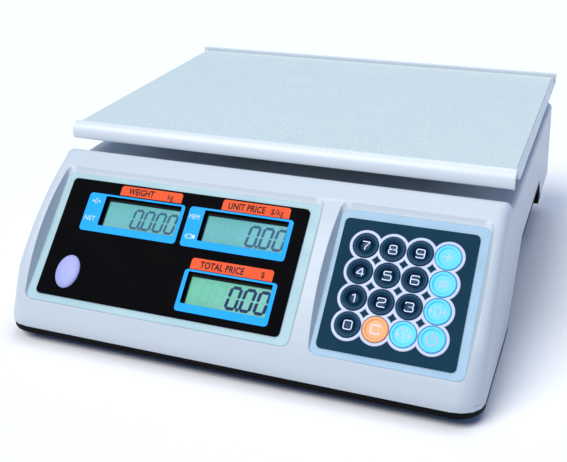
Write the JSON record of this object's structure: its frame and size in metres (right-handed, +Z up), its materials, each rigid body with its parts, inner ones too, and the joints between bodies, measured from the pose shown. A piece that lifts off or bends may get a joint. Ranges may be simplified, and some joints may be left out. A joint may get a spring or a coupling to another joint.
{
  "type": "retail price scale",
  "caption": "Counter price scale with a sloping console: display panel with windows, round-key keypad, lift-off weighing tray and side hand-holds.",
  "frame": {"origin": "middle of the footprint, on the floor under the rubber feet", "axes": "+Z up, the console and keys face -Y, +X is to the operator's right"},
  "size_m": [0.3602, 0.3769, 0.136],
  "materials": {
    "case": "fine satin, pale lavender white",
    "base": "fine matt, black",
    "inlet": "satin black",
    "rubber": "matt black",
    "steel": "zinc plated",
    "display_panel": "satin black film",
    "plug": "satin lavender",
    "lcd": "grey-green liquid crystal glass",
    "lcd_total": "green liquid crystal glass",
    "backlight": "milky light guide",
    "board": "green solder mask",
    "keypad_panel": "satin navy film",
    "key_digit": "satin dark blue",
    "key_function": "satin light blue",
    "key_clear": "satin orange",
    "tray": "smooth satin, pale",
    "tray_sheet": "fine sparkling grain",
    "casting": "as cast",
    "transformer": "varnished laminations",
    "battery": "dark grey",
    "level": "green vial"
  },
  "bodies": {
    "case": {"upper_case": "case", "base_pan": "base", "mains_inlet": "inlet", "tray_pad_front_left": "rubber", "tray_pad_front_right": "rubber", "tray_pad_rear_left": "rubber", "tray_pad_rear_right": "rubber", "case_screw_front_left": "steel", "case_screw_front_right": "steel", "case_screw_rear_left": "steel", "case_screw_rear_right": "steel", "cell_bolt_upper_1": "steel", "cell_bolt_upper_2": "steel", "cell_bolt_lower_1": "steel", "cell_bolt_lower_2": "steel", "display_panel": "display_panel", "panel_plug": "plug", "lcd_weight": "lcd", "lcd_unit_price": "lcd", "lcd_total_price": "lcd_total", "backlight": "backlight", "display_board": "board", "keypad_board": "board", "main_board": "board", "keypad_panel": "keypad_panel", "tray_support": "casting", "cell_block": "casting", "cell_post": "casting", "load_cell": "casting", "transformer": "transformer", "battery": "battery", "spirit_level": "level"},
    "tray": {"tray_body": "tray", "tray_sheet": "tray_sheet"},
    "battery_door": {"battery_door": "base"},
    "foot_front_left": {"foot_stud_front_left": "steel", "foot_pad_front_left": "rubber"},
    "foot_front_right": {"foot_stud_front_right": "steel", "foot_pad_front_right": "rubber"},
    "foot_rear_left": {"foot_stud_rear_left": "steel", "foot_pad_rear_left": "rubber"},
    "foot_rear_right": {"foot_stud_rear_right": "steel", "foot_pad_rear_right": "rubber"},
    "key_7": {"key_7": "key_digit"},
    "key_8": {"key_8": "key_digit"},
    "key_9": {"key_9": "key_digit"},
    "key_plus": {"key_plus": "key_function"},
    "key_4": {"key_4": "key_digit"},
    "key_5": {"key_5": "key_digit"},
    "key_6": {"key_6": "key_digit"},
    "key_hash": {"key_hash": "key_function"},
    "key_1": {"key_1": "key_digit"},
    "key_2": {"key_2": "key_digit"},
    "key_3": {"key_3": "key_digit"},
    "key_zero_set": {"key_zero_set": "key_function"},
    "key_0": {"key_0": "key_digit"},
    "key_clear": {"key_clear": "key_clear"},
    "key_tare": {"key_tare": "key_function"},
    "key_power": {"key_power": "key_function"}
  },
  "joints": [
    {"name": "tray_lift", "type": "slide", "parent": "case", "child": "tray", "axis": [0, 0, 1], "range_m": [0, 0.04]},
    {"name": "battery_door_hinge", "type": "hinge", "parent": "case", "child": "battery_door", "pos_m": [-0.06, 0.184, 0.0123], "axis": [-1, 0, 0], "range_deg": [0, 95]},
    {"name": "foot_turn_front_left", "type": "hinge", "parent": "case", "child": "foot_front_left", "pos_m": [-0.148, -0.1475, 0], "axis": [0, 0, 1], "continuous": true},
    {"name": "foot_turn_front_right", "type": "hinge", "parent": "case", "child": "foot_front_right", "pos_m": [0.148, -0.1475, 0], "axis": [0, 0, 1], "continuous": true},
    {"name": "foot_turn_rear_left", "type": "hinge", "parent": "case", "child": "foot_rear_left", "pos_m": [-0.148, 0.1485, 0], "axis": [0, 0, 1], "continuous": true},
    {"name": "foot_turn_rear_right", "type": "hinge", "parent": "case", "child": "foot_rear_right", "pos_m": [0.148, 0.1485, 0], "axis": [0, 0, 1], "continuous": true},
    {"name": "press_key_7", "type": "slide", "parent": "case", "child": "key_7", "axis": [0, 0.6877, -0.726], "range_m": [0, 0.0007], "stiffness_N_per_m": 900, "springref_m": -0.0006},
    {"name": "press_key_8", "type": "slide", "parent": "case", "child": "key_8", "axis": [0, 0.6877, -0.726], "range_m": [0, 0.0007], "stiffness_N_per_m": 900, "springref_m": -0.0006},
    {"name": "press_key_9", "type": "slide", "parent": "case", "child": "key_9", "axis": [0, 0.6877, -0.726], "range_m": [0, 0.0007], "stiffness_N_per_m": 900, "springref_m": -0.0006},
    {"name": "press_key_plus", "type": "slide", "parent": "case", "child": "key_plus", "axis": [0, 0.6877, -0.726], "range_m": [0, 0.0007], "stiffness_N_per_m": 900, "springref_m": -0.0006},
    {"name": "press_key_4", "type": "slide", "parent": "case", "child": "key_4", "axis": [0, 0.6877, -0.726], "range_m": [0, 0.0007], "stiffness_N_per_m": 900, "springref_m": -0.0006},
    {"name": "press_key_5", "type": "slide", "parent": "case", "child": "key_5", "axis": [0, 0.6877, -0.726], "range_m": [0, 0.0007], "stiffness_N_per_m": 900, "springref_m": -0.0006},
    {"name": "press_key_6", "type": "slide", "parent": "case", "child": "key_6", "axis": [0, 0.6877, -0.726], "range_m": [0, 0.0007], "stiffness_N_per_m": 900, "springref_m": -0.0006},
    {"name": "press_key_hash", "type": "slide", "parent": "case", "child": "key_hash", "axis": [0, 0.6877, -0.726], "range_m": [0, 0.0007], "stiffness_N_per_m": 900, "springref_m": -0.0006},
    {"name": "press_key_1", "type": "slide", "parent": "case", "child": "key_1", "axis": [0, 0.6877, -0.726], "range_m": [0, 0.0007], "stiffness_N_per_m": 900, "springref_m": -0.0006},
    {"name": "press_key_2", "type": "slide", "parent": "case", "child": "key_2", "axis": [0, 0.6877, -0.726], "range_m": [0, 0.0007], "stiffness_N_per_m": 900, "springref_m": -0.0006},
    {"name": "press_key_3", "type": "slide", "parent": "case", "child": "key_3", "axis": [0, 0.6877, -0.726], "range_m": [0, 0.0007], "stiffness_N_per_m": 900, "springref_m": -0.0006},
    {"name": "press_key_zero_set", "type": "slide", "parent": "case", "child": "key_zero_set", "axis": [0, 0.6877, -0.726], "range_m": [0, 0.0007], "stiffness_N_per_m": 900, "springref_m": -0.0006},
    {"name": "press_key_0", "type": "slide", "parent": "case", "child": "key_0", "axis": [0, 0.6877, -0.726], "range_m": [0, 0.0007], "stiffness_N_per_m": 900, "springref_m": -0.0006},
    {"name": "press_key_clear", "type": "slide", "parent": "case", "child": "key_clear", "axis": [0, 0.6877, -0.726], "range_m": [0, 0.0007], "stiffness_N_per_m": 900, "springref_m": -0.0006},
    {"name": "press_key_tare", "type": "slide", "parent": "case", "child": "key_tare", "axis": [0, 0.6877, -0.726], "range_m": [0, 0.0007], "stiffness_N_per_m": 900, "springref_m": -0.0006},
    {"name": "press_key_power", "type": "slide", "parent": "case", "child": "key_power", "axis": [0, 0.6877, -0.726], "range_m": [0, 0.0007], "stiffness_N_per_m": 900, "springref_m": -0.0006}
  ]
}
